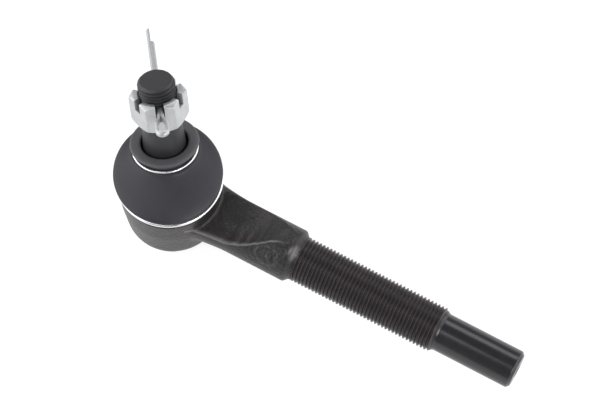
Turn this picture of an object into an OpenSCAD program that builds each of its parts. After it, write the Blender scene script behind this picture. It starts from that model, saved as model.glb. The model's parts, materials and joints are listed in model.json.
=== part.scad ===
// Tie rod end: a forged housing with a threaded shank, and a ball stud that swings and turns in it.
// The origin is the centre of the ball, +Z is the socket's axis and +X runs along the shank.
// The stud is drawn leaning, and the boot's neck follows it part of the way.

/* [Shank] */
// Depth of the shank's axis below the ball's centre
shank_drop = 3; // [2:0.5:4]
// Radius of the round arm between the socket and the thread
arm_r = 10.7; // [10.2:0.1:11.5]
// Height of the arm's flat top above the shank's axis
arm_flat = 7.4; // [6.5:0.1:8]
// Distance from the ball's centre to the start of the thread
thread_start = 56.8; // [55:0.2:60]
// Major radius of the shank's thread
thread_r = 9; // [8.5:0.25:9.5]
// Length of the thread
thread_len = 60.4; // [50:0.2:64]
// Radius of the plain pilot past the thread
pilot_r = 7.5; // [7:0.1:7.8]
// Length of the pilot
pilot_len = 32.4; // [20:0.2:40]

/* [Socket] */
// Outer radius of the socket
socket_r = 19.8; // [19.6:0.1:20]
// Outer radius at the foot of the socket
foot_r = 18.8; // [18.6:0.1:19.2]
// Depth of the socket's underside below the ball's centre
foot_depth = 20.5; // [20.5:0.5:22]
// Height of the rim above the ball's centre
rim_top = 12; // [11.6:0.1:12.2]
// Radius of the rim that the boot's bead grips
rim_r = 18.2; // [18:0.1:18.3]

/* [Ball stud] */
// Radius of the ball
ball_r = 13; // [12.9:0.05:13]
// Radius of the neck under the taper
neck_r = 6.2; // [5.8:0.1:6.2]
// Radius at the big end of the taper
taper_r = 8.45; // [8:0.05:8.5]
// Height of the big end of the taper above the ball's centre
taper_foot = 20; // [19.5:0.5:20.5]
// Height of the small end of the taper
taper_top = 36; // [35:0.5:36.5]
// Major radius of the stud's thread
stud_thread_r = 7; // [6.5:0.25:7]
// Height of the stud's top
stud_top = 55; // [54:0.5:58]
// Angle between the stud and the socket's axis as drawn
lean = 24; // [20:1:25]
// Direction of the lean, measured from the shank
lean_dir = 127.5; // [0:0.5:360]

/* [Boot] */
// Radius of the boot where the lower ring grips it
bead_r = 20.3; // [20.2:0.1:20.5]
// Radius of the boot's lip above the upper ring
lip_r = 13.25; // [13.1:0.05:13.4]
// Height of the upper ring along the stud
neck_height = 22.1; // [21.8:0.1:22.3]
// Angle of the upper ring's plane to the socket's rim
neck_lean = 14; // [12:1:16]
// Angle of the lip's plane to the socket's rim
lip_lean = 19; // [17:1:19]

/* [Fasteners] */
// Width across the flats of the castle nut
nut_flats = 19; // [19:1:21]
// Height of the nut's underside along the stud
nut_foot = 37.1; // [37:0.1:38]
// Height of the nut
nut_height = 12.4; // [12:0.1:12.8]
// Depth of the nut's slots
slot_depth = 5; // [4.8:0.1:5.2]
// Width of the nut's slots
slot_width = 3.3; // [3.2:0.1:3.6]
// Radius of the cotter pin
pin_r = 1.35; // [1.2:0.05:1.4]
// Length of the cotter pin's long leg past the stud's axis
long_leg = 41; // [20:1:45]
// Length of the short leg past the stud's axis
short_leg = 33; // [18:1:40]

/* [Hidden] */
$fn = 96;

thread_end = thread_start + thread_len;
tip = thread_end + pilot_len;
foot = -foot_depth;
pin_height = nut_foot + nut_height - slot_depth + pin_r + 0.15;

race_bore = 15.6;
ball_gap = 0.15;
retain_r = 11.8;
retain_z = 8;
mouth_r = 14.6;
fold_z = 4;
rolled_lip = 0.9;
cover_t = 2;
cover_bore = 17;
cover_top = foot + rolled_lip + cover_t;
seat_foot = -14.4;
groove_r = lip_r - 1.5;

black_paint = "#1b1b1d";
rubber = "#232326";
bright = "#d8d9da";
zinc = "#c3c6c9";
steel = "#3a3a3d";
race_grey = "#8d8f88";

// Places its children on the shank's axis, with +Z pointing towards the tip
module along_shank(x) translate([x, 0, -shank_drop]) rotate([0, 90, 0]) children();

// Places its children on the stud, with +X in the direction of the lean
module on_stud() rotate([0, 0, lean_dir]) rotate([0, lean, 0]) children();

// Places its children at the boot's upper ring
module on_neck()
    rotate([0, 0, lean_dir])
        translate([neck_height * sin(lean), 0, neck_height * cos(lean)])
            rotate([0, neck_lean, 0]) children();

module socket_outside()
    rotate_extrude() polygon([
        [0, foot], [foot_r - 2, foot], [foot_r - 0.7, foot + 0.7], [foot_r - 0.15, foot + 2],
        [foot_r, foot + 3.5], [socket_r, -3], [socket_r, 8.2], [socket_r - 0.5, 8.7],
        [rim_r, 8.7], [rim_r, rim_top], [0, rim_top]]);

module socket_inside()
    rotate_extrude() polygon([
        [0, foot - 1], [cover_bore - 1.8, foot - 1], [cover_bore - 1.8, foot + rolled_lip],
        [cover_bore, foot + rolled_lip], [cover_bore, cover_top], [race_bore, cover_top],
        [race_bore, fold_z], [retain_r, retain_z], [mouth_r, rim_top],
        [mouth_r + 0.7, rim_top + 1], [0, rim_top + 1]]);

// The arm is a round bar that flares into the socket and has a flat milled along its top
module arm() {
    flare_end = 30;
    ramp_start = 40;
    ramp_end = 49;
    shoulder = thread_start - 2;
    difference() {
        union() {
            along_shank(10) cylinder(h = flare_end - 10, r1 = arm_r + 2.4, r2 = arm_r);
            along_shank(flare_end - 0.01) cylinder(h = shoulder - flare_end, r = arm_r);
            along_shank(shoulder - 0.02) cylinder(h = 2.02, r1 = arm_r - 0.2, r2 = thread_r);
        }
        rotate([90, 0, 0])
            linear_extrude(height = 60, center = true)
                polygon([[0, arm_flat - shank_drop], [ramp_start, arm_flat - shank_drop],
                         [ramp_end, arm_r - shank_drop + 0.1], [ramp_end, 20], [0, 20]]);
    }
}

module housing() {
    thread_chamfer = 1.2;
    tip_chamfer = 1.2;
    color(black_paint)
    difference() {
        union() {
            socket_outside();
            arm();
            along_shank(thread_start - 1) cylinder(h = thread_len + 1 - thread_chamfer, r = thread_r);
            along_shank(thread_end - thread_chamfer)
                cylinder(h = thread_chamfer, r1 = thread_r, r2 = pilot_r + 0.4);
            along_shank(thread_end) cylinder(h = 0.8, r1 = pilot_r + 0.4, r2 = pilot_r);
            along_shank(thread_end - 1) cylinder(h = pilot_len + 1 - tip_chamfer, r = pilot_r);
            along_shank(tip - tip_chamfer)
                cylinder(h = tip_chamfer, r1 = pilot_r, r2 = pilot_r - tip_chamfer);
        }
        socket_inside();
    }
}

// The race is pressed up against the fold above the ball and keeps the ball in
module upper_race() {
    race_top = 7;
    gap = 0.1;
    color(race_grey)
    rotate_extrude()
        difference() {
            polygon([[9, -1], [race_bore - gap, -1], [race_bore - gap, fold_z],
                     [race_bore - gap - (race_top - fold_z) * 0.95, race_top], [9, race_top]]);
            circle(r = ball_r + ball_gap);
        }
}

// The seat is pushed up under the ball by the spring and is free to turn with it
module ball_seat() {
    seat_r = race_bore - 0.25;
    boss_r = 5;
    color(race_grey)
    difference() {
        rotate_extrude() polygon([
            [0, seat_foot - 1.4], [boss_r, seat_foot - 1.4], [boss_r, seat_foot],
            [seat_r - 0.8, seat_foot], [seat_r, seat_foot + 0.8], [seat_r, -1.6], [0, -1.6]]);
        sphere(r = ball_r + ball_gap);
    }
}

// A conical spring, small end up, swept as a tube along a flat spiral
module preload_spring() {
    wire_r = 0.75;
    turns = 2.25;
    small_r = 6.6;
    pitch_r = 2;
    top_z = seat_foot - wire_r - 0.15;
    low_z = cover_top + wire_r + 0.05;
    sides = 10;
    steps = 90;
    spring_points = [
        for (i = [0:steps])
            let (t = i / steps, a = 360 * turns * t, r = small_r + pitch_r * turns * t,
                 z = top_z + (low_z - top_z) * t)
            for (k = [0:sides - 1])
                let (b = 360 * k / sides, c = r + wire_r * cos(b))
                [c * cos(a), c * sin(a), z + wire_r * sin(b)]];
    spring_faces = concat(
        [[for (k = [0:sides - 1]) k]],
        [[for (k = [0:sides - 1]) steps * sides + sides - 1 - k]],
        [for (i = [0:steps - 1]) for (k = [0:sides - 1]) for (half = [0, 1])
            let (a = i * sides + k, b = i * sides + (k + 1) % sides, c = a + sides, d = b + sides)
            half == 0 ? [a, c, b] : [b, c, d]]);
    color(steel) polyhedron(points = spring_points, faces = spring_faces);
}

module end_cover() {
    gap = 0.05;
    low = foot + rolled_lip + gap;
    color(steel)
    rotate_extrude() polygon([
        [0, cover_top - gap], [cover_bore - gap, cover_top - gap], [cover_bore - gap, low],
        [11, low], [9.8, low + 0.7], [0, low + 0.7]]);
}

// A point of a cubic curve between a and d, with handles b and c
function curve(a, b, c, d, t) =
    pow(1 - t, 3) * a + 3 * t * pow(1 - t, 2) * b + 3 * t * t * (1 - t) * c + t * t * t * d;
// A point at radius r in a ring that stands at height h up the stud and leans by tilt
function neck_point(r, h, tilt, a) =
    [h * sin(lean) + r * cos(a) * cos(tilt), r * sin(a), h * cos(lean) - r * cos(a) * sin(tilt)];
function flat_point(r, z, a) = [r * cos(a), r * sin(a), z];

// The boot's wall at the angle a from the lean: round the outside from the bead to the lip,
// then back down the inside. The rubber hangs slack on the side that the stud leans to, and
// bulges most a little to one side of that.
function boot_section(a) =
    let (slack = 0.5 + 0.5 * cos(a),
         bulge = 0.5 + 0.5 * cos(a - 70),
         skirt = flat_point(bead_r - 0.15, rim_top + 1.65, a),
         skirt_up = flat_point(bead_r + 2.6 + 1.9 * bulge, rim_top + 3 - 0.8 * bulge + 1.6 * slack, a),
         neck = neck_point(lip_r, neck_height - 1.0, neck_lean, a),
         neck_out = neck_point(lip_r - 0.5 * bulge, neck_height - 2 + 0.6 * slack, neck_lean, a),
         inner_low = flat_point(rim_r - 0.2, rim_top + 0.9, a),
         inner_up = flat_point(bead_r + 0.3 + 1.4 * bulge, rim_top + 1.6 - 0.8 * bulge + 1.6 * slack, a),
         inner_neck = neck_point(10.6, neck_height - 2.3, neck_lean, a),
         inner_out = neck_point(lip_r - 1.8 - 0.5 * bulge, neck_height - 3.4 + 0.6 * slack, neck_lean, a),
         steps = 8)
    concat(
        [flat_point(rim_r + 0.1, 8.9, a), flat_point(bead_r - 0.7, 8.9, a),
         flat_point(bead_r - 0.4, 10.4, a), flat_point(bead_r - 1.2, 11, a),
         flat_point(bead_r - 1.2, 12.4, a), flat_point(bead_r, 13, a)],
        [for (i = [0:steps]) curve(skirt, skirt_up, neck_out, neck, i / steps)],
        [neck_point(groove_r, neck_height - 0.6, neck_lean, a),
         neck_point(groove_r, neck_height + 0.6, neck_lean, a),
         neck_point(lip_r - 0.2, neck_height + 1.9, lip_lean, a),
         neck_point(lip_r, neck_height + 2.3, lip_lean, a),
         neck_point(lip_r - 0.2, neck_height + 2.7, lip_lean, a),
         neck_point(lip_r - 0.9, neck_height + 3, lip_lean, a),
         neck_point(9.8, neck_height + 2.9, lip_lean, a),
         neck_point(9, neck_height + 2.4, lip_lean, a),
         neck_point(9.2, neck_height - 0.6, neck_lean, a)],
        [for (i = [0:steps]) curve(inner_neck, inner_out, inner_up, inner_low, i / steps)],
        [flat_point(rim_r - 0.1, rim_top + 0.15, a), flat_point(rim_r + 0.1, rim_top + 0.1, a)]);

module dust_boot() {
    around = 60;
    rows = len(boot_section(0));
    boot_points = [for (j = [0:around - 1]) each boot_section(360 * j / around)];
    boot_faces = [
        for (j = [0:around - 1]) for (i = [0:rows - 1]) for (half = [0, 1])
            let (a = j * rows + i, b = j * rows + (i + 1) % rows,
                 c = (j + 1) % around * rows + i, d = (j + 1) % around * rows + (i + 1) % rows)
            half == 0 ? [a, b, d] : [a, d, c]];
    color(rubber) rotate([0, 0, lean_dir]) polyhedron(points = boot_points, faces = boot_faces);
}

module wire_ring(r, wire_r) rotate_extrude() translate([r, 0]) circle(r = wire_r, $fn = 32);

module boot_lower_ring() color(bright) translate([0, 0, 11.7]) wire_ring(bead_r - 0.3, 0.75);

module boot_upper_ring() color(bright) on_neck() wire_ring(lip_r - 0.9, 0.5);

module ball_stud() {
    chamfer = 1;
    color(steel)
    on_stud()
        difference() {
            union() {
                intersection() {
                    sphere(r = ball_r);
                    translate([0, 0, -11.5]) cylinder(h = 30, r = 20);
                }
                rotate_extrude() polygon([
                    [0, 8], [neck_r, 8], [neck_r, taper_foot - 4.5], [taper_r - 0.8, taper_foot - 1.4],
                    [taper_r, taper_foot], [stud_thread_r + 0.45, taper_top],
                    [stud_thread_r, taper_top + 0.2], [stud_thread_r, stud_top - chamfer],
                    [stud_thread_r - chamfer, stud_top], [0, stud_top]]);
            }
            translate([-10, 0, pin_height]) rotate([0, 90, 0]) cylinder(h = 20, r = pin_r + 0.25);
        }
}

module castle_nut() {
    corner_r = nut_flats / 2 / cos(30);
    bevel = 1.3;
    color(zinc)
    on_stud() translate([0, 0, nut_foot])
        difference() {
            intersection() {
                rotate([0, 0, 30]) cylinder(h = nut_height, r = corner_r, $fn = 6);
                rotate_extrude() polygon([
                    [0, 0], [nut_flats / 2 - 0.3, 0], [corner_r, bevel], [corner_r, nut_height - bevel],
                    [nut_flats / 2 - 0.3, nut_height], [0, nut_height]]);
            }
            translate([0, 0, -1]) cylinder(h = nut_height + 2, r = stud_thread_r + 0.05);
            for (a = [0, 60, 120])
                rotate([0, 0, a])
                    translate([-15, -slot_width / 2, nut_height - slot_depth])
                        cube([30, slot_width, slot_depth + 1]);
        }
}

// The pin's two half-round legs come together under an open eye
module cotter_pin() {
    eye_wire = 0.8;
    eye_r = 1.9;
    eye_end = -18.8;
    eye_foot = -14.6;
    leg_start = -12;
    color(zinc)
    on_stud() translate([0, 0, pin_height]) {
        translate([eye_end, 0, 0])
            rotate([0, 0, 90]) rotate_extrude(angle = 180) translate([eye_r, 0]) circle(r = eye_wire, $fn = 24);
        for (side = [-1, 1]) {
            translate([eye_end - 0.01, side * eye_r, 0]) rotate([0, 90, 0])
                cylinder(h = eye_foot - eye_end + 0.02, r = eye_wire, $fn = 24);
            hull() {
                translate([eye_foot, side * eye_r, 0]) rotate([0, 90, 0])
                    cylinder(h = 0.1, r = eye_wire, $fn = 24);
                translate([leg_start, side * 0.66, 0]) rotate([0, 90, 0])
                    cylinder(h = 0.5, r = 0.62, $fn = 24);
            }
        }
        difference() {
            translate([leg_start, 0, 0]) rotate([0, 90, 0]) cylinder(h = long_leg - leg_start, r = pin_r);
            translate([leg_start + 4, -0.05, -5]) cube([long_leg, 0.1, 10]);
            translate([short_leg, -5, -5]) cube([long_leg, 5, 10]);
        }
    }
}

housing();
upper_race();
ball_seat();
preload_spring();
end_cover();
dust_boot();
boot_lower_ring();
boot_upper_ring();
ball_stud();
castle_nut();
cotter_pin();
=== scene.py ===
"""Tie rod end: the looks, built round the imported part.

The origin is the centre of the ball, +Z is the socket's axis and +X runs along the shank.
Sizes in this file are in millimetres until MM turns them into metres.
"""

import json
import math

import bmesh
import bpy
from mathutils import Matrix, Vector, noise


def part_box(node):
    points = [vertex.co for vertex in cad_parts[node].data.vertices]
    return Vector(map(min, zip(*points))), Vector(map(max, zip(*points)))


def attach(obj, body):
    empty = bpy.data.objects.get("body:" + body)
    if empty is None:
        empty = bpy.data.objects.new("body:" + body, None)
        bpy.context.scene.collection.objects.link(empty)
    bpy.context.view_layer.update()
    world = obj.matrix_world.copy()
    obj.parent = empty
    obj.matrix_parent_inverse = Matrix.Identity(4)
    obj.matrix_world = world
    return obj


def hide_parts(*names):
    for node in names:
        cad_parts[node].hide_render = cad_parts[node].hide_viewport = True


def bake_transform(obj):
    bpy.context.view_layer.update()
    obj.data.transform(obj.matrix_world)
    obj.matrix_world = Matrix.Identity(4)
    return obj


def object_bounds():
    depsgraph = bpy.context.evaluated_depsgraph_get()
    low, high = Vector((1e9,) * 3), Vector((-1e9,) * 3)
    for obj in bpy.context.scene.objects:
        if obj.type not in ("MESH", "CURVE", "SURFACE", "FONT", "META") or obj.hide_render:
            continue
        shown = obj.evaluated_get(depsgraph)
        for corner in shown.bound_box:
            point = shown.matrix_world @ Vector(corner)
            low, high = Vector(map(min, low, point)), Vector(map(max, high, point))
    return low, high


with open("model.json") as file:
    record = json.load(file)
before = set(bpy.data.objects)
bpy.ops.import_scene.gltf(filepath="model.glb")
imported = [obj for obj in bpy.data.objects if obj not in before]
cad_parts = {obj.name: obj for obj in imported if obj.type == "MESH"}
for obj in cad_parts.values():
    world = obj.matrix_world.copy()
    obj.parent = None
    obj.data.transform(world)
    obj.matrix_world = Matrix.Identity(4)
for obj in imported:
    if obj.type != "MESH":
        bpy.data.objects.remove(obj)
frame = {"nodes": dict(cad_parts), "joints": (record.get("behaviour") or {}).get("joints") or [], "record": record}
cad_low, cad_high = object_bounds()

MM = 0.001
record = frame["record"]
joints = {j["name"]: j for j in frame["joints"]}
mounts = {m["name"]: m for m in record["mounts"]}


def node_box(name):
    """Lowest and highest corner of a CAD node, in millimetres."""
    low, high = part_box(name)
    return Vector(low) / MM, Vector(high) / MM


# ---------------------------------------------------------------- sizes that drive the pieces

housing_low, housing_high = node_box("housing")
lower_ring_high = node_box("boot_lower_ring")[1]

SHANK_Z = mounts["shank_thread"]["pos_m"][2] / MM
TIP = housing_high.x
THREAD_R = 9.0
PILOT_R = 7.5
ARM_R = 10.7
THREAD_START = 56.8
THREAD_END = 117.2
THREAD_PITCH = 1.5
THREAD_DEPTH = 0.85

FOOT = housing_low.z
RIM_TOP = housing_high.z
RIM_R = 18.2
SOCKET_R = -housing_low.x

STUD_AXIS = Vector(joints["stud_spin"]["axis"]).normalized()
LEAN = math.acos(STUD_AXIS.z)
LEAN_DIR = math.atan2(STUD_AXIS.y, STUD_AXIS.x)
TO_LEAN = Matrix.Rotation(LEAN_DIR, 4, "Z")
ON_STUD = TO_LEAN @ Matrix.Rotation(LEAN, 4, "Y")

BEAD_R = lower_ring_high.x - 0.45
LIP_R = 13.25
NECK_HEIGHT = 22.1
NECK_LEAN = math.radians(14)
LIP_LEAN = math.radians(19)

BALL_R = 13.0
BALL_FLAT = -11.5
BALL_LOW_ANGLE = -62.2
BALL_HIGH_ANGLE = 61.5
NECK_R = 6.2
STUD_TOP = 55.0
STUD_THREAD_R = 7.0
STUD_PITCH = 1.5
TAPER_TOP = 36.0
NUT_FLATS = 19.0
NUT_FOOT = 37.1
NUT_HEIGHT = 12.4
SLOT_DEPTH = 5.0
SLOT_WIDTH = 3.3
PIN_R = 1.35
PIN_HEIGHT = NUT_FOOT + NUT_HEIGHT - SLOT_DEPTH + PIN_R + 0.15
LONG_LEG = 41.0
SHORT_LEG = 33.0


# ---------------------------------------------------------------- shader maths


class Value:
    """A number that changes over a surface. Python's operators on it add Math nodes."""

    def __init__(self, nodes, socket):
        self.nodes = nodes
        self.socket = socket

    def _math(self, operation, *others):
        values = [o.socket if isinstance(o, Value) else o for o in others]
        return self.nodes.node("Math", {"operation": operation}, *values)

    def __add__(self, other):
        return self._math("ADD", self, other)

    def __radd__(self, other):
        return self._math("ADD", other, self)

    def __sub__(self, other):
        return self._math("SUBTRACT", self, other)

    def __rsub__(self, other):
        return self._math("SUBTRACT", other, self)

    def __mul__(self, other):
        return self._math("MULTIPLY", self, other)

    def __rmul__(self, other):
        return self._math("MULTIPLY", other, self)

    def sqrt(self):
        return self._math("SQRT", self)

    def clamp(self):
        return self._math("MINIMUM", self._math("MAXIMUM", self, 0.0), 1.0)

    def step_up(self, low, high):
        """0 below low, 1 above high, smooth between."""
        return self.nodes.node(
            "MapRange",
            {"interpolation_type": "SMOOTHSTEP"},
            self.socket,
            low,
            high,
            0.0,
            1.0,
        )


class Nodes:
    """A node tree, and the one way that nodes are added to it."""

    def __init__(self, tree):
        self.tree = tree

    def node(self, kind, settings, *values, out=0, **named):
        """Adds a node: its settings first, then the values or links of its sockets."""
        made = self.tree.nodes.new("ShaderNode" + kind)
        for key, value in settings.items():
            if key == "stops":
                ramp = made.color_ramp
                while len(ramp.elements) < len(value):
                    ramp.elements.new(0.5)
                for element, (place, tone) in zip(ramp.elements, value):
                    element.position = place
                    element.color = tone
            else:
                setattr(made, key, value)
        sockets = [s for s in made.inputs if s.enabled]
        pairs = list(zip(sockets, values))
        pairs += [(made.inputs[key], value) for key, value in named.items()]
        for socket, value in pairs:
            if isinstance(value, Value):
                value = value.socket
            if isinstance(value, bpy.types.NodeSocket):
                self.tree.links.new(value, socket)
            elif value is not None:
                socket.default_value = value
        return Value(self, made.outputs[out])


class Paint(Nodes):
    """One material on a Principled shader."""

    def __init__(self, name, **fixed):
        self.material = bpy.data.materials.new(name)
        self.material.use_nodes = True
        super().__init__(self.material.node_tree)
        self.shader = self.tree.nodes["Principled BSDF"]
        for socket, value in fixed.items():
            self.shader.inputs[socket.replace("_", " ")].default_value = value
        self.place = self.node("TexCoord", {}, out="Object")

    def noise(self, size, detail=4.0, rough=0.5, stretch=(1, 1, 1)):
        """Noise with features of about that size in millimetres, from 0 to 1."""
        scale = [1 / (size * MM) / s for s in stretch]
        moved = self.node("Mapping", {}, Vector=self.place, Scale=scale)
        return self.node(
            "TexNoise", {}, Vector=moved, Scale=1.0, Detail=detail, Roughness=rough
        )

    def cells(self, size, feature="F1"):
        """Distance to scattered points that lie about that far apart, in millimetres."""
        return self.node(
            "TexVoronoi", {"feature": feature}, Vector=self.place, Scale=1 / (size * MM)
        )

    def blend(self, share, a, b):
        """Colour a where share is 0 and b where it is 1."""
        return self.node("MixRGB", {"blend_type": "MIX"}, share, a, b)

    def xyz(self):
        """The place on the piece in metres, one value an axis."""
        split = self.node("SeparateXYZ", {}, self.place).socket.node
        return [Value(self, s) for s in split.outputs]

    def feed(self, **inputs):
        """Links what changes over the surface to the shader."""
        for key, value in inputs.items():
            self.tree.links.new(value.socket, self.shader.inputs[key.replace("_", " ")])

    def bump(self, height, depth, strength=1.0):
        """Surface relief: height from 0 to 1 stands for depth in millimetres."""
        self.feed(
            Normal=self.node("Bump", {}, Strength=strength, Distance=depth * MM, Height=height)
        )


def grey(tone, warm=0.0):
    """A grey, a little warmer or cooler."""
    return (tone * (1 + warm), tone, tone * (1 - warm), 1.0)


def cool(tone):
    """A grey with a trace of violet, as oiled black finishes have."""
    return (tone * 1.0, tone * 0.95, tone * 1.12, 1.0)


# ---------------------------------------------------------------- materials


def forged_paint():
    """Thin black paint over a rough forging, light grey where the metal stands up: partly paint rubbed through,
    partly a painted highlight on the ridge, the die mark and the burrs.
    """
    p = Paint("forged_black_paint", Specular_IOR_Level=0.42)
    grain = p.noise(0.9, 5, 0.6)
    scale_marks = p.noise(4.5, 3, 0.55)
    primer = p.noise(11.0, 2, 0.5).step_up(0.5, 0.8)
    pits = p.cells(1.9).step_up(0.1, 0.5)
    # worn follows how far the ridge, the die mark and the burrs stand up: rubbed paint, and a painted highlight on
    # those crests
    worn = p.node("Attribute", {"attribute_name": "worn"}, out=2)
    bare = (worn * (0.45 + grain * 0.9)).clamp()
    black = p.blend(scale_marks, (0.0105, 0.0094, 0.0102, 1), (0.0205, 0.0186, 0.0198, 1))
    tinted = p.blend(primer * 0.5, black, (0.030, 0.015, 0.015, 1))
    p.feed(
        # Where worn is high the colour turns light grey: rubbed paint and a painted highlight together
        Base_Color=p.blend(bare, tinted, (0.17, 0.165, 0.17, 1)),
        Roughness=0.26 + grain * 0.2 + scale_marks * 0.08 - bare * 0.04,
    )
    p.bump(grain * 0.5 + scale_marks * 0.25 + pits * 0.25, 0.34, 0.9)
    return p.material


def thread_paint():
    """Paint that has worn thin on the crests of the thread."""
    p = Paint("thread_black_paint", Specular_IOR_Level=0.5)
    x, y, z = p.xyz()
    z = z - SHANK_Z * MM
    radius = (y * y + z * z).sqrt()
    worn = p.noise(1.4, 4, 0.6)
    along = p.noise(9.0, 2, 0.5)
    crest = radius.step_up((THREAD_R - 0.25) * MM, (THREAD_R - 0.02) * MM)
    bare = (crest * (worn * 1.3 + along * 0.9 - 0.72)).clamp()
    p.feed(
        Base_Color=p.blend(bare, (0.024, 0.0195, 0.0215, 1), (0.10, 0.075, 0.078, 1)),
        Roughness=0.30 + worn * 0.14,
        Metallic=bare * 0.55,
    )
    p.bump(worn, 0.03, 0.4)
    return p.material


def pilot_paint():
    """Glossy paint on a turned surface."""
    p = Paint("pilot_black_paint", Specular_IOR_Level=0.5)
    turned = p.noise(0.35, 2, 0.5, (1, 30, 30))
    flow = p.noise(3.5, 3, 0.5)
    p.feed(
        Base_Color=p.blend(flow, (0.0155, 0.0145, 0.0170, 1), (0.0235, 0.0220, 0.0255, 1)),
        Roughness=0.17 + flow * 0.12,
    )
    p.bump(turned * 0.3 + flow * 0.7, 0.05, 0.5)
    return p.material


def boot_rubber():
    """Moulded rubber with a faint bloom; the lip round the stud is painted lighter, a painted highlight where
    light from above falls.
    """
    p = Paint("boot_rubber", Specular_IOR_Level=0.42)
    bloom = p.noise(7.0, 3, 0.55)
    skin = p.noise(0.25, 3, 0.6)
    # lip: the top of the boot round the stud, made light grey as a painted highlight
    lip = p.node("Attribute", {"attribute_name": "lip"}, out=2)
    wall = p.blend(bloom, (0.0185, 0.0172, 0.0235, 1), (0.0290, 0.0272, 0.0350, 1))
    p.feed(
        # The wall's colour, turned light grey on the lip as a painted highlight
        Base_Color=p.blend(lip * (0.55 + bloom * 0.45), wall, (0.092, 0.089, 0.098, 1)),
        Roughness=0.42 + bloom * 0.10 + skin * 0.05 - lip * 0.06,
    )
    p.bump(skin, 0.02, 0.35)
    return p.material


def bright_wire(name, tone, rough):
    """Bright drawn wire or plated steel."""
    p = Paint(name, Metallic=1.0)
    drawn = p.noise(0.3, 3, 0.6)
    cloud = p.noise(3.0, 3, 0.5)
    p.feed(
        Base_Color=p.blend(cloud, grey(tone * 0.9, -0.01), grey(tone, -0.02)),
        Roughness=rough + drawn * 0.10 + cloud * 0.06,
    )
    p.bump(drawn * 0.5 + cloud * 0.5, 0.03, 0.5)
    return p.material


def phosphate(name, tone):
    """Dark phosphated steel: fine crystals, a little oily."""
    p = Paint(name, Metallic=0.0, Specular_IOR_Level=0.55)
    crystal = p.noise(0.22, 4, 0.65)
    oil = p.noise(5.0, 3, 0.5)
    p.feed(
        Base_Color=p.blend(oil, cool(tone), cool(tone * 1.6)),
        Roughness=0.36 + crystal * 0.14 + oil * 0.08,
    )
    p.bump(crystal, 0.03, 0.5)
    return p.material


def zinc_plate():
    """Bright zinc on a cold formed nut, dented a little from tumbling."""
    p = Paint("nut_zinc", Metallic=0.85)
    cloud = p.noise(2.6, 4, 0.55)
    dents = p.cells(1.3, "SMOOTH_F1").step_up(0.05, 0.5)
    fine = p.noise(0.3, 3, 0.6)
    p.feed(
        Base_Color=p.blend(cloud, (0.42, 0.43, 0.44, 1), (0.62, 0.63, 0.645, 1)),
        Roughness=0.30 + cloud * 0.18 + fine * 0.08,
    )
    p.bump(dents * 0.45 + cloud * 0.35 + fine * 0.2, 0.07, 0.6)
    return p.material


def pin_zinc():
    """Zinc on drawn half round wire."""
    p = Paint("pin_zinc", Metallic=0.8)
    cloud = p.noise(1.8, 4, 0.6)
    fine = p.noise(0.25, 3, 0.6)
    p.feed(
        Base_Color=p.blend(cloud, (0.40, 0.41, 0.42, 1), (0.58, 0.59, 0.60, 1)),
        Roughness=0.36 + fine * 0.16,
    )
    p.bump(fine * 0.6 + cloud * 0.4, 0.04, 0.5)
    return p.material


def bearing_plastic():
    """Greased acetal of the race and the seat."""
    p = Paint("bearing_plastic", Specular_IOR_Level=0.5)
    grease = p.noise(3.0, 3, 0.5)
    p.feed(
        Base_Color=p.blend(grease, (0.42, 0.39, 0.30, 1), (0.55, 0.53, 0.45, 1)),
        Roughness=0.25 + grease * 0.25,
    )
    p.bump(grease, 0.05, 0.4)
    return p.material


PAINT = forged_paint()
THREAD = thread_paint()
PILOT = pilot_paint()
RUBBER = boot_rubber()
RING = bright_wire("ring_wire", 0.92, 0.2)
STUD = phosphate("stud_phosphate", 0.015)
NUT = zinc_plate()
PIN = pin_zinc()
SPRING = phosphate("spring_steel", 0.05)
COVER = phosphate("cover_steel", 0.03)
RACE = bearing_plastic()


# ---------------------------------------------------------------- modelling helpers


def clear():
    """Nothing is selected, and Blender is in object mode."""
    if bpy.context.object and bpy.context.object.mode != "OBJECT":
        bpy.ops.object.mode_set(mode="OBJECT")
    bpy.ops.object.select_all(action="DESELECT")


def only(obj):
    """obj alone is selected and active."""
    clear()
    bpy.context.view_layer.objects.active = obj
    obj.select_set(True)


def loop(name, points):
    """A wire of points in the X-Z plane, in millimetres, ready for spin or screw."""
    mesh = bpy.data.meshes.new(name)
    verts = [(x * MM, 0, z * MM) for x, z in points]
    edges = [(i, i + 1) for i in range(len(points) - 1)]
    mesh.from_pydata(verts, edges, [])
    obj = bpy.data.objects.new(name, mesh)
    bpy.context.scene.collection.objects.link(obj)
    return obj


def tidy(obj):
    """Merges doubles and points the faces outwards."""
    only(obj)
    bpy.ops.object.mode_set(mode="EDIT")
    bpy.ops.mesh.select_all(action="SELECT")
    bpy.ops.mesh.remove_doubles(threshold=0.00001)
    bpy.ops.mesh.delete_loose()
    bpy.ops.mesh.select_all(action="SELECT")
    bpy.ops.mesh.normals_make_consistent(inside=False)
    bpy.ops.object.mode_set(mode="OBJECT")


def turned(name, points, steps=128):
    """A turned piece: the section is spun about Z."""
    obj = loop(name, points)
    only(obj)
    bpy.ops.object.mode_set(mode="EDIT")
    bpy.ops.mesh.select_all(action="SELECT")
    bpy.ops.mesh.spin(
        steps=steps, angle=math.tau, center=(0, 0, 0), axis=(0, 0, 1), use_auto_merge=True
    )
    bpy.ops.object.mode_set(mode="OBJECT")
    tidy(obj)
    return obj


def apply(obj, kind, **settings):
    """Adds a modifier and applies it."""
    only(obj)
    modifier = obj.modifiers.new(kind.title(), kind)
    for key, value in settings.items():
        setattr(modifier, key, value)
    bpy.ops.object.modifier_apply(modifier=modifier.name)


def combine(obj, other, operation):
    """Boolean of two closed meshes; the second one is used up."""
    apply(obj, "BOOLEAN", operation=operation, object=other, solver="EXACT")
    bpy.data.objects.remove(other, do_unlink=True)


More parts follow.
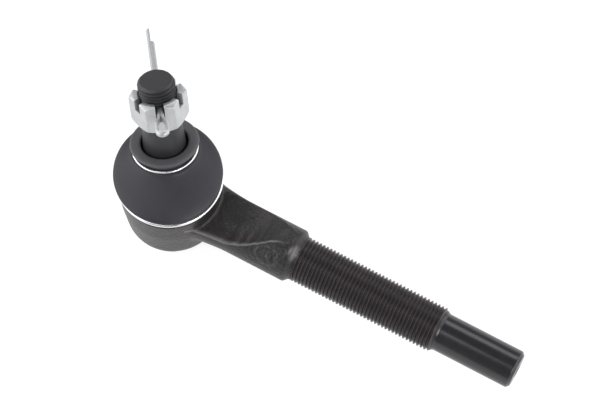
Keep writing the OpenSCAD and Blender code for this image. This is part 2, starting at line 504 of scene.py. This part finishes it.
def place(obj, matrix):
    """Turns and moves the mesh itself, so that the object stays at the origin."""
    moved = matrix.copy()
    moved.translation = matrix.translation * MM
    obj.data.transform(moved)
    obj.data.update()


ALONG_SHANK = Matrix.Translation((0, 0, SHANK_Z)) @ Matrix.Rotation(
    math.radians(90), 4, "Y"
)


def dress(obj, name, material, body, replaces=(), smooth=35):
    """Names a finished piece, gives it its material and hangs it on its body."""
    obj.name = name
    obj.data.name = name
    obj.data.materials.clear()
    obj.data.materials.append(material)
    only(obj)
    bpy.ops.object.shade_smooth_by_angle(angle=math.radians(smooth))
    if body:
        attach(obj, body)
    if replaces:
        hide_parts(*replaces)
    return obj


def rounded(points, size, steps=4):
    """Rounds the inner corners of an open section; size is the most that is cut from a side."""
    made = [points[0]]
    for before, corner, after in zip(points, points[1:], points[2:]):
        before, corner, after = Vector(before), Vector(corner), Vector(after)
        a, b = before - corner, after - corner
        cut = min(size, a.length * 0.45, b.length * 0.45)
        start, end = corner + a.normalized() * cut, corner + b.normalized() * cut
        for i in range(steps + 1):
            t = i / steps
            made.append(
                tuple(start * (1 - t) ** 2 + corner * 2 * t * (1 - t) + end * t**2)
            )
    made.append(points[-1])
    return made


def smoothstep(low, high, value):
    """0 at low and beyond it, 1 at high and beyond it, smooth between."""
    t = min(1.0, max(0.0, (value - low) / (high - low)))
    return t * t * (3 - 2 * t)


def between(table, x):
    """A line through a table of (x, y), eased a little at each of its points."""
    if x <= table[0][0]:
        return table[0][1]
    for (x0, y0), (x1, y1) in zip(table, table[1:]):
        if x <= x1:
            t = (x - x0) / (x1 - x0)
            t = t * t * (3 - 2 * t) * 0.5 + t * 0.5
            return y0 + (y1 - y0) * t
    return table[-1][1]


def screw_thread(name, length, radius, pitch, depth, ends, steps=72):
    """A real helical thread along +Z from 0, with its ends turned down to the radii in ends."""
    root = radius - depth
    flank = depth * math.tan(math.radians(30))
    crest = pitch / 8
    bottom = pitch - 2 * flank - crest
    profile = [
        (root, 0),
        (root, bottom),
        (radius, bottom + flank),
        (radius, bottom + flank + crest),
        (root, pitch),
    ]
    turns = math.ceil(length / pitch) + 2
    obj = loop(name, profile)
    apply(
        obj,
        "SCREW",
        axis="Z",
        angle=math.tau,
        screw_offset=pitch * MM,
        iterations=turns,
        steps=steps,
        render_steps=steps,
        use_merge_vertices=True,
        merge_threshold=0.000005,
        use_smooth_shade=False,
    )
    place(obj, Matrix.Translation((0, 0, -pitch)))
    only(obj)
    bpy.ops.object.mode_set(mode="EDIT")
    for height, side in ((0, -1), (length, 1)):
        bpy.ops.mesh.select_all(action="SELECT")
        bpy.ops.mesh.bisect(
            plane_co=(0, 0, height * MM), plane_no=(0, 0, side), clear_outer=True
        )
    bpy.ops.mesh.select_all(action="SELECT")
    bpy.ops.mesh.remove_doubles(threshold=0.000004)
    bpy.ops.mesh.select_all(action="DESELECT")
    bpy.ops.mesh.select_non_manifold()
    bpy.ops.mesh.fill_holes(sides=0)
    bpy.ops.object.mode_set(mode="OBJECT")
    for v in obj.data.vertices:
        z = v.co.z / MM
        r = math.hypot(v.co.x, v.co.y) / MM
        low, high = ends
        limit = min(radius, low + z * 0.9, high + (length - z) * 0.9)
        if r > limit:
            v.co.x *= limit / r
            v.co.y *= limit / r
    tidy(obj)
    return obj


# ---------------------------------------------------------------- housing

SOCKET_OUTSIDE = rounded(
    [
        (0, FOOT),
        (SOCKET_R - 3.0, FOOT),
        (SOCKET_R - 1.2, FOOT + 1.6),
        (SOCKET_R - 0.9, FOOT + 4.5),
        (SOCKET_R, -3.0),
        (SOCKET_R, 8.4),
        (RIM_R, 8.8),
        (RIM_R, RIM_TOP),
        (0, RIM_TOP),
    ],
    0.9,
)

FOOT_LIP_R = 15.2
COVER_BORE_R = 17
RACE_BORE_R = 15.6

SOCKET_INSIDE = [
    (0, FOOT - 1),
    (FOOT_LIP_R, FOOT - 1),
    (FOOT_LIP_R, FOOT + 0.9),
    (COVER_BORE_R, FOOT + 0.9),
    (COVER_BORE_R, FOOT + 2.9),
    (RACE_BORE_R, FOOT + 2.9),
    (RACE_BORE_R, 4),
    (11.8, 8),
    (14.6, RIM_TOP),
    (15.3, RIM_TOP + 1),
    (0, RIM_TOP + 1),
]

# How far round the arm, in degrees from its top towards -Y, the ridge and the far side of
# the hollow top lie at each distance from the ball
RIDGE = [(12, 68), (29, 66), (34, 55), (37.5, 45), (41, 33), (43.5, 24), (46, 14), (49, 7), (52, 4)]
FAR_SIDE = [(12, -56), (31, -60), (40, -58), (45, -50), (49, -38), (52, -24)]
HOLLOW_END = 52.5
ARM_END = 54.8
FILLET_END = 24.5
MARK_X = 46.8
MARK_ANGLE = 46
BURRS = [(54.2, 14, 0.45, 1.6), (55.6, 20, 0.6, 2.0), (55.4, 4, 0.4, 1.2), (56.6, 12, 0.5, 2.2)]


def arm_radius(x):
    """The bar flares into the socket and steps down to the thread."""
    flare = 2.4 * max(0.0, (30 - x) / 20) ** 1.6
    return ARM_R + flare - smoothstep(ARM_END - 0.6, ARM_END + 1.8, x) * (
        ARM_R - THREAD_R + 0.1
    )


def ridge_lip(x, angle, radius):
    """The flash line that stands along the near edge of the hollow."""
    off = (angle - math.radians(between(RIDGE, x))) * radius
    return 0.5 * math.exp(-((off / 0.4) ** 2)) * smoothstep(52, 46, x)


def die_mark(x, angle, radius):
    """A plain raised oval with a pip in it, where the forging die carries its mark."""
    along = (x - MARK_X) / 4.6
    across = (angle - math.radians(MARK_ANGLE)) * radius / 3.6
    out = math.hypot(along, across)
    ring = math.exp(-(((out - 1) / 0.11) ** 2))
    pip = math.exp(-((out / 0.22) ** 2))
    bar = math.exp(-((abs(along - 0.1) / 0.5) ** 6) - ((across + 0.45) / 0.09) ** 2)
    broken = 0.6 + 0.9 * noise.noise(Vector((x / 1.3, angle * 6, 1.5)))
    return 0.24 * (ring + pip + 0.8 * bar) * min(1.0, max(0.15, broken))


def rough_patch(x, angle, radius):
    """Scale that was pressed into the skin round the mark and up to the thread."""
    across = angle * radius
    near_mark = math.exp(-(((x - MARK_X) / 6) ** 2) - ((angle - math.radians(MARK_ANGLE)) / 0.55) ** 2)
    near_burr = math.exp(-(((x - 53.5) / 2.6) ** 2) - ((angle - 0.25) / 0.5) ** 2)
    fine = noise.noise(Vector((x / 0.75, across / 0.75, 3.7)))
    broad = noise.noise(Vector((x / 1.7, across / 1.7, 9.1)))
    return (0.30 * fine + 0.26 * broad) * max(near_mark, near_burr)


def burr(x, angle, radius):
    """Metal that the first turns of the thread pushed up."""
    rise = 0.0
    for at, turn, high, wide in BURRS:
        apart = (angle - math.radians(turn)) * radius
        rise += high * math.exp(-(((x - at) / 0.5) ** 2) - (apart / wide) ** 2)
    return rise


def arm_surface(x, angle):
    """Distance from the shank's axis to the arm's skin."""
    radius = arm_radius(x)
    extra = sum(part(x, angle, radius) for part in (ridge_lip, die_mark, burr, rough_patch))
    if x > HOLLOW_END:
        return radius + extra
    near, far = math.radians(between(RIDGE, x)), math.radians(between(FAR_SIDE, x))
    middle, half = (near + far) / 2, (near - far) / 2
    off = angle - middle
    if abs(off) >= half:
        return radius + extra
    flat = radius * math.cos(half) / math.cos(off)
    inward = 1 - abs(off) / half
    scoop = 0.35 * math.cos(off / half * math.pi / 2) ** 2 * smoothstep(50, 30, x)
    dimple = 0.45 * math.exp(-(((x - 50) / 1.8) ** 2) - ((angle + 0.22) / 0.2) ** 2)
    return flat - scoop * smoothstep(0, 0.4, inward) - dimple + extra


def about_shank(v):
    """Distance along the shank, angle from its top towards -Y, and radius, of a vertex."""
    y, z = v.co.y / MM, v.co.z / MM - SHANK_Z
    return v.co.x / MM, math.atan2(-y, z), math.hypot(y, z)


def to_skin(v, share=1.0):
    """Moves a vertex to the arm's skin, or part of the way."""
    x, angle, radius = about_shank(v)
    reach = radius + (arm_surface(x, angle) - radius) * share
    v.co.y = -math.sin(angle) * reach * MM
    v.co.z = (math.cos(angle) * reach + SHANK_Z) * MM


def build_forging():
    socket = turned("socket", SOCKET_OUTSIDE, 160)
    start, end = 4.0, THREAD_START + 0.8
    clear()
    bpy.ops.mesh.primitive_cylinder_add(
        vertices=192, radius=ARM_R * MM, depth=(end - start) * MM, location=(0, 0, 0)
    )
    arm = bpy.context.object
    bpy.ops.object.mode_set(mode="EDIT")
    bpy.ops.mesh.select_all(action="DESELECT")
    edit = bmesh.from_edit_mesh(arm.data)
    for e in edit.edges:
        e.select = abs(e.verts[0].co.z - e.verts[1].co.z) > MM
    bpy.ops.mesh.subdivide(number_cuts=110)
    bpy.ops.object.mode_set(mode="OBJECT")
    place(arm, ALONG_SHANK @ Matrix.Translation((0, 0, (start + end) / 2)))
    for v in arm.data.vertices:
        to_skin(v)
    arm.data.update()
    tidy(arm)
    combine(socket, arm, "UNION")
    apply(socket, "REMESH", mode="VOXEL", voxel_size=0.37 * MM, use_smooth_shade=True)
    only(socket)
    bpy.ops.object.mode_set(mode="EDIT")
    edit = bmesh.from_edit_mesh(socket.data)
    for reach, repeats in ((4.6, 26), (2.6, 24)):
        bpy.ops.mesh.select_all(action="DESELECT")
        for v in edit.verts:
            x, angle, radius = about_shank(v)
            wall = math.hypot(v.co.x, v.co.y) / MM - SOCKET_R
            ridge = abs(angle - math.radians(between(RIDGE, x))) * radius
            keeps = ridge < 0.9 and x > 16.5
            v.select = x > 10 and -1.5 < wall < reach and v.co.z < 7.9 * MM and not keeps
        edit.select_flush(True)
        bpy.ops.mesh.vertices_smooth(factor=0.5, repeat=repeats)
        edit = bmesh.from_edit_mesh(socket.data)
    bpy.ops.mesh.select_all(action="SELECT")
    bpy.ops.mesh.vertices_smooth(factor=0.4, repeat=1)
    bpy.ops.object.mode_set(mode="OBJECT")
    for v in socket.data.vertices:
        x, angle, radius = about_shank(v)
        if FILLET_END < x < THREAD_START and radius > 3:
            to_skin(v, smoothstep(FILLET_END, FILLET_END + 3, x))
    socket.data.update()
    bore = turned("bore", SOCKET_INSIDE)
    combine(socket, bore, "DIFFERENCE")
    tidy(socket)
    # The worn mark lightens the ridge, the die mark and the burrs: partly rubbed paint, partly a painted highlight
    worn = socket.data.attributes.new("worn", "FLOAT", "POINT")
    for v, mark in zip(socket.data.vertices, worn.data):
        x, angle, radius = about_shank(v)
        mark.value = 0.0
        if 14 < x < THREAD_START and radius > 3:
            raised = (ridge_lip(x, angle, radius), die_mark(x, angle, radius) * 0.45, burr(x, angle, radius))
            mark.value = min(1.0, 2.2 * max(raised))
    return dress(socket, "housing_forging", PAINT, "housing", ["housing"], 40)


def build_thread():
    start = THREAD_START - 1.0
    length = THREAD_END - start
    obj = screw_thread(
        "thread", length, THREAD_R, THREAD_PITCH, THREAD_DEPTH, (THREAD_R - 0.6, PILOT_R + 0.45), 96
    )
    place(obj, ALONG_SHANK @ Matrix.Translation((0, 0, start)))
    return dress(obj, "housing_thread", THREAD, "housing", (), 28)


def build_pilot():
    start = THREAD_END - 1.5
    section = rounded(
        [
            (0, start),
            (PILOT_R + 0.2, start),
            (PILOT_R + 0.45, THREAD_END),
            (PILOT_R, THREAD_END + 0.8),
            (PILOT_R, TIP - 1.2),
            (PILOT_R - 1.2, TIP),
            (3.0, TIP),
            (1.2, TIP - 0.9),
            (0, TIP - 1.1),
        ],
        0.35,
    )
    obj = turned("pilot", section)
    place(obj, ALONG_SHANK)
    return dress(obj, "housing_pilot", PILOT, "housing", (), 35)


# ---------------------------------------------------------------- dust boot


def curve(a, b, c, d, t):
    """A point of a cubic curve between a and d, with handles b and c."""
    s = 1 - t
    return a * s**3 + b * (3 * t * s**2) + c * (3 * t * t * s) + d * t**3


def neck_point(r, h, tilt, a):
    """A point at radius r in a ring that stands at height h up the stud and leans by tilt."""
    return Vector(
        (
            h * math.sin(LEAN) + r * math.cos(a) * math.cos(tilt),
            r * math.sin(a),
            h * math.cos(LEAN) - r * math.cos(a) * math.sin(tilt),
        )
    )


def flat_point(r, z, a):
    return Vector((r * math.cos(a), r * math.sin(a), z))


def boot_section(a):
    """The boot's wall at the angle a from the lean, round the outside and back down the inside."""
    slack = 0.5 + 0.5 * math.cos(a)
    bulge = 0.5 + 0.5 * math.cos(a - math.radians(70))
    bead = [
        (RIM_R + 0.1, 8.9),
        (BEAD_R - 1.0, 8.85),
        (BEAD_R - 0.55, 9.3),
        (BEAD_R - 0.4, 10.3),
        (BEAD_R - 1.0, 10.75),
        (BEAD_R - 1.2, 11.1),
        (BEAD_R - 1.2, 12.3),
        (BEAD_R - 0.75, 12.6),
        (BEAD_R - 0.15, 12.85),
        (BEAD_R, 13.15),
        (BEAD_R - 0.12, 13.4),
    ]
    points = [flat_point(r, z, a) for r, z in bead]
    skirt = flat_point(BEAD_R - 0.15, RIM_TOP + 1.65, a)
    skirt_up = flat_point(BEAD_R + 2.6 + 1.9 * bulge, RIM_TOP + 3 - 0.8 * bulge + 1.6 * slack, a)
    neck_out = neck_point(LIP_R - 0.5 * bulge, NECK_HEIGHT - 2 + 0.6 * slack, NECK_LEAN, a)
    neck = neck_point(LIP_R, NECK_HEIGHT - 1.0, NECK_LEAN, a)
    points += [curve(skirt, skirt_up, neck_out, neck, i / 18) for i in range(19)]
    groove = LIP_R - 1.5
    points += [
        neck_point(r, NECK_HEIGHT + h, NECK_LEAN, a)
        for r, h in ((groove + 0.5, -0.8), (groove + 0.05, -0.62), (groove, 0.0), (groove, 0.6))
    ]
    lip = [
        (groove + 0.15, 1.45),
        (LIP_R - 0.55, 1.75),
        (LIP_R - 0.15, 1.95),
        (LIP_R, 2.3),
        (LIP_R - 0.12, 2.65),
        (LIP_R - 0.5, 2.9),
        (LIP_R - 1.0, 3.0),
        (LIP_R - 2.2, 2.9),
        (9.9, 2.85),
        (9.35, 2.75),
        (9.05, 2.4),
        (9.0, 1.8),
        (9.1, 0.6),
        (9.2, -0.6),
    ]
    points += [neck_point(r, NECK_HEIGHT + h, LIP_LEAN, a) for r, h in lip[:-1]]
    points.append(neck_point(lip[-1][0], NECK_HEIGHT + lip[-1][1], NECK_LEAN, a))
    inner_neck = neck_point(10.6, NECK_HEIGHT - 2.3, NECK_LEAN, a)
    inner_out = neck_point(
        LIP_R - 1.8 - 0.5 * bulge, NECK_HEIGHT - 3.4 + 0.6 * slack, NECK_LEAN, a
    )
    inner_up = flat_point(
        BEAD_R + 0.3 + 1.4 * bulge, RIM_TOP + 1.6 - 0.8 * bulge + 1.6 * slack, a
    )
    inner_low = flat_point(RIM_R - 0.2, RIM_TOP + 0.9, a)
    points += [curve(inner_neck, inner_out, inner_up, inner_low, i / 12) for i in range(13)]
    points += [flat_point(RIM_R - 0.1, RIM_TOP + 0.15, a), flat_point(RIM_R + 0.1, RIM_TOP + 0.1, a)]
    return points


def build_boot():
    """Lofted from points, because its section changes all the way round."""
    around = 192
    rows = [boot_section(math.tau * j / around) for j in range(around)]
    count = len(rows[0])
    verts = [tuple(TO_LEAN @ p * MM) for row in rows for p in row]
    faces = []
    for j in range(around):
        for i in range(count):
            a, b = j * count + i, j * count + (i + 1) % count
            d, c = (j + 1) % around * count + i, (j + 1) % around * count + (i + 1) % count
            faces.append((a, d, c, b))
    mesh = bpy.data.meshes.new("boot")
    mesh.from_pydata(verts, [], faces)
    obj = bpy.data.objects.new("boot", mesh)
    bpy.context.scene.collection.objects.link(obj)
    tidy(obj)
    up = TO_LEAN @ Vector((math.sin(NECK_LEAN), 0, math.cos(NECK_LEAN)))
    neck_plane = NECK_HEIGHT * math.cos(LEAN - NECK_LEAN)
    # lip marks the boot above the neck; the rubber paints it lighter as a painted highlight
    lip = obj.data.attributes.new("lip", "FLOAT", "POINT")
    for v, mark in zip(obj.data.vertices, lip.data):
        mark.value = smoothstep(0.7, 1.9, v.co.dot(up) / MM - neck_plane)
    dress(obj, "boot_skin", RUBBER, None, (), 60)
    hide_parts("dust_boot")
    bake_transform(obj)
    return obj


# ---------------------------------------------------------------- ball stud, nut and pin


def build_stud():
    """The ball, neck and taper are one piece, and the thread with its cross hole another."""
    parts = 40
    angles = [
        math.radians(BALL_LOW_ANGLE + i * (BALL_HIGH_ANGLE - BALL_LOW_ANGLE) / parts)
        for i in range(parts + 1)
    ]
    section = [(0, BALL_FLAT)] + [(BALL_R * math.cos(t), BALL_R * math.sin(t)) for t in angles]
    section += [(NECK_R, 12.2), (NECK_R, 15.2), (6.6, 16.6), (7.65, 18.6), (8.3, 19.6)]
    section += [(8.45, 20.4), (7.44, 35.8), (7.0, 36.2), (6.2, 36.9), (6.2, 37.5), (0, 37.5)]
    body = turned("stud", section)
    start = TAPER_TOP + 0.2
    thread = screw_thread(
        "stud_thread", STUD_TOP - start, STUD_THREAD_R, STUD_PITCH, THREAD_DEPTH, (6.4, 6.05), 80
    )
    place(thread, Matrix.Translation((0, 0, start)))
    place(body, ON_STUD)
    dress(body, "stud_taper_and_ball", STUD, "stud", ["ball_stud"], 30)
    clear()
    bpy.ops.mesh.primitive_cylinder_add(
        vertices=32, radius=(PIN_R + 0.25) * MM, depth=20 * MM, location=(0, 0, 0)
    )
    drill = bpy.context.object
    across = Matrix.Rotation(math.radians(90), 4, "Y")
    place(drill, Matrix.Translation((0, 0, PIN_HEIGHT)) @ across)
    combine(thread, drill, "DIFFERENCE")
    place(thread, ON_STUD)
    dress(thread, "stud_thread", STUD, "stud", (), 30)


def build_nut():
    corner = NUT_FLATS / 2 / math.cos(math.radians(30))
    face_r, chamfer = NUT_FLATS / 2 - 0.35, 1.25
    bore_r = STUD_THREAD_R + 0.06
    clear()
    bpy.ops.mesh.primitive_cylinder_add(
        vertices=6, radius=corner * MM, depth=NUT_HEIGHT * MM, location=(0, 0, 0)
    )
    nut = bpy.context.object
    place(nut, Matrix.Translation((0, 0, NUT_HEIGHT / 2)))
    cone = turned(
        "nut_chamfer",
        [
            (0, -0.01),
            (face_r, -0.01),
            (corner + 0.02, chamfer),
            (corner + 0.02, NUT_HEIGHT - chamfer),
            (face_r, NUT_HEIGHT + 0.01),
            (0, NUT_HEIGHT + 0.01),
        ],
        120,
    )
    combine(nut, cone, "INTERSECT")
    hole = turned(
        "nut_bore",
        [
            (0, -1),
            (8.4, -1),
            (bore_r, 0.9),
            (bore_r, NUT_HEIGHT - 0.7),
            (8.1, NUT_HEIGHT + 1),
            (0, NUT_HEIGHT + 1),
        ],
        96,
    )
    combine(nut, hole, "DIFFERENCE")
    for turn in (0, 60, 120):
        clear()
        bpy.ops.mesh.primitive_cube_add(size=MM, location=(0, 0, 0))
        slot = bpy.context.object
        height = SLOT_DEPTH + 2
        size = Matrix.Diagonal((30, SLOT_WIDTH, height, 1))
        place(slot, Matrix.Translation((0, 0, NUT_HEIGHT - SLOT_DEPTH + height / 2)) @ size)
        place(slot, Matrix.Rotation(math.radians(turn), 4, "Z"))
        combine(nut, slot, "DIFFERENCE")
    tidy(nut)
    only(nut)
    apply(
        nut, "BEVEL", width=0.28 * MM, segments=3, limit_method="ANGLE",
        angle_limit=math.radians(32), use_clamp_overlap=True,
    )
    place(nut, ON_STUD @ Matrix.Translation((0, 0, NUT_FOOT)))
    return dress(nut, "slotted_nut", NUT, "stud", ["castle_nut"], 30)


def bend_wire(name, start, moves):
    """A half round wire: its D section is pushed along lines and spun round arcs, as on a bender."""
    arc = [math.pi * i / 14 for i in range(15)]
    section = [(0, -math.cos(a) * PIN_R, math.sin(a) * PIN_R) for a in arc]
    mesh = bpy.data.meshes.new(name)
    mesh.from_pydata(
        [(start[0] * MM, (start[1] + out) * MM, z * MM) for _, z, out in section],
        [],
        [tuple(range(len(section)))],
    )
    obj = bpy.data.objects.new(name, mesh)
    bpy.context.scene.collection.objects.link(obj)
    only(obj)
    bpy.ops.object.mode_set(mode="EDIT")
    bpy.ops.mesh.select_all(action="SELECT")
    for kind, where, amount, steps in moves:
        if kind == "line":
            for _ in range(steps):
                step = [c * MM / steps for c in where]
                bpy.ops.mesh.extrude_region_move(TRANSFORM_OT_translate={"value": step})
        else:
            bpy.ops.mesh.spin(
                steps=steps,
                angle=math.radians(amount),
                center=[c * MM for c in where],
                axis=(0, 0, -1),
            )
    bpy.ops.object.mode_set(mode="OBJECT")
    tidy(obj)
    return obj


def build_pin():
    """One length of half round wire: down one leg, round the eye and back down the other."""
    gap = 0.03
    leg_end, eye_centre, eye_r, bend_r = -11.5, -18.85, 1.25, 2.4
    turn = math.degrees(math.acos(1 - (eye_r - gap) / (2 * bend_r)))
    run = bend_r * math.sin(math.radians(turn))
    middle = (leg_end - run, (gap + eye_r) / 2)
    foot = leg_end - 2 * run
    moves = [
        ("line", (leg_end - LONG_LEG, 0, 0), 0, 24),
        ("arc", (leg_end, gap + bend_r, 0), -turn, 8),
        ("arc", (foot, eye_r - bend_r, 0), turn, 8),
        ("line", (eye_centre - foot, 0, 0), 0, 3),
        ("arc", (eye_centre, 0, 0), 180, 28),
        ("line", (foot - eye_centre, 0, 0), 0, 3),
        ("arc", (foot, bend_r - eye_r, 0), turn, 8),
        ("arc", (leg_end, -gap - bend_r, 0), -turn, 8),
        ("line", (SHORT_LEG - leg_end, 0, 0), 0, 24),
    ]
    obj = bend_wire("pin", (LONG_LEG, gap), moves)
    for v in obj.data.vertices:
        x, y, z = v.co / MM
        if x > 2:
            sag = math.sin((x - 2) * 0.16) * 0.06 * (1 if y > 0 else -0.5)
            v.co.z += sag * MM
    place(obj, ON_STUD @ Matrix.Translation((0, 0, PIN_HEIGHT)))
    return dress(obj, "split_pin", PIN, "cotter", ["cotter_pin"], 40)


build_forging()
build_thread()
build_pilot()
build_boot()
build_stud()
build_nut()
build_pin()


# ---------------------------------------------------------------- CAD nodes that stay as they are

for node, material in (
    ("upper_race", RACE),
    ("ball_seat", RACE),
    ("preload_spring", SPRING),
    ("end_cover", COVER),
    ("boot_lower_ring", RING),
    ("boot_upper_ring", RING),
):
    kept = frame["nodes"][node]
    kept.data.materials.clear()
    kept.data.materials.append(material)


# ---------------------------------------------------------------- floor, light and camera

FLOOR_GAP = 0.02
clear()
bpy.ops.mesh.primitive_plane_add(size=6.0, location=(0, 0, cad_low.z - FLOOR_GAP * MM))
floor = bpy.context.object
floor.name = "floor"
floor_paint = Paint(
    "floor_white",
    Base_Color=(0.3, 0.3, 0.3, 1),
    Roughness=0.9,
    Specular_IOR_Level=0.0,
    Emission_Color=(1, 1, 1, 1),
    Emission_Strength=0.82,
)
floor.data.materials.append(floor_paint.material)

AZIMUTH = math.radians(29)
ELEVATION = math.radians(67)
middle = (cad_low + cad_high) / 2


WORLD_STRENGTH = 0.5
WORLD_STOPS = ((0.0, 1.0), (0.49, 0.9), (0.56, 0.55), (0.72, 0.30), (0.88, 0.10))


def studio():
    """A white room that darkens from the floor up to a dim ceiling."""
    world = bpy.data.worlds.new("studio")
    bpy.context.scene.world = world
    world.use_nodes = True
    room = Nodes(world.node_tree)
    height = room.node("SeparateXYZ", {}, room.node("TexCoord", {}, out="Generated"), out="Z")
    stops = [(where, grey(tone)) for where, tone in WORLD_STOPS]
    shade = room.node("ValToRGB", {"stops": stops}, height * 0.5 + 0.5)
    ground = room.tree.nodes["Background"]
    room.tree.links.new(shade.socket, ground.inputs["Color"])
    ground.inputs["Strength"].default_value = WORLD_STRENGTH


studio()


def softbox(name, azimuth, elevation, distance, width, height, power):
    """A soft light that looks at the object's middle."""
    a, e = math.radians(azimuth), math.radians(elevation)
    away = Vector((math.sin(a) * math.cos(e), -math.cos(a) * math.cos(e), math.sin(e)))
    data = bpy.data.lights.new(name, "AREA")
    data.shape = "RECTANGLE"
    data.size = width
    data.size_y = height
    data.energy = power
    light = bpy.data.objects.new(name, data)
    bpy.context.scene.collection.objects.link(light)
    light.location = middle + away * distance
    light.rotation_mode = "QUATERNION"
    light.rotation_quaternion = away.to_track_quat("Z", "Y")


# Name, azimuth, elevation, distance, width, height and power
for box in (
    ("left_box", -61, 22, 1.1, 1.9, 1.1, 13.5),
    ("right_box", 119, 22, 1.1, 1.8, 1.1, 10.5),
    ("back_box", 206, 45, 1.2, 1.3, 0.5, 6.0),
    ("fillet_box", 64, 34, 1.1, 0.5, 0.5, 5.0),
    ("top_box", -29, 66, 1.1, 0.5, 0.5, 2.3),
):
    softbox(*box)

DISTANCE = 775.5
RIGHT_OFF = 49.77
UP_OFF = -2.97
back = Vector(
    (
        math.sin(AZIMUTH) * math.cos(ELEVATION),
        -math.cos(AZIMUTH) * math.cos(ELEVATION),
        math.sin(ELEVATION),
    )
)
right = Vector((math.cos(AZIMUTH), math.sin(AZIMUTH), 0))
up = back.cross(right)
lens = bpy.data.cameras.new("camera")
lens.sensor_width = 36
lens.lens = 120
lens.clip_start = 0.05
lens.clip_end = 20
camera = bpy.data.objects.new("camera", lens)
bpy.context.scene.collection.objects.link(camera)
stand = back * DISTANCE + right * RIGHT_OFF + up * UP_OFF + Vector((0, 0, SHANK_Z))
camera.matrix_world = Matrix.LocRotScale(
    stand * MM, Matrix((right, up, back)).transposed().to_quaternion(), None
)
bpy.context.scene.camera = camera
bpy.context.scene.view_settings.view_transform = "Standard"
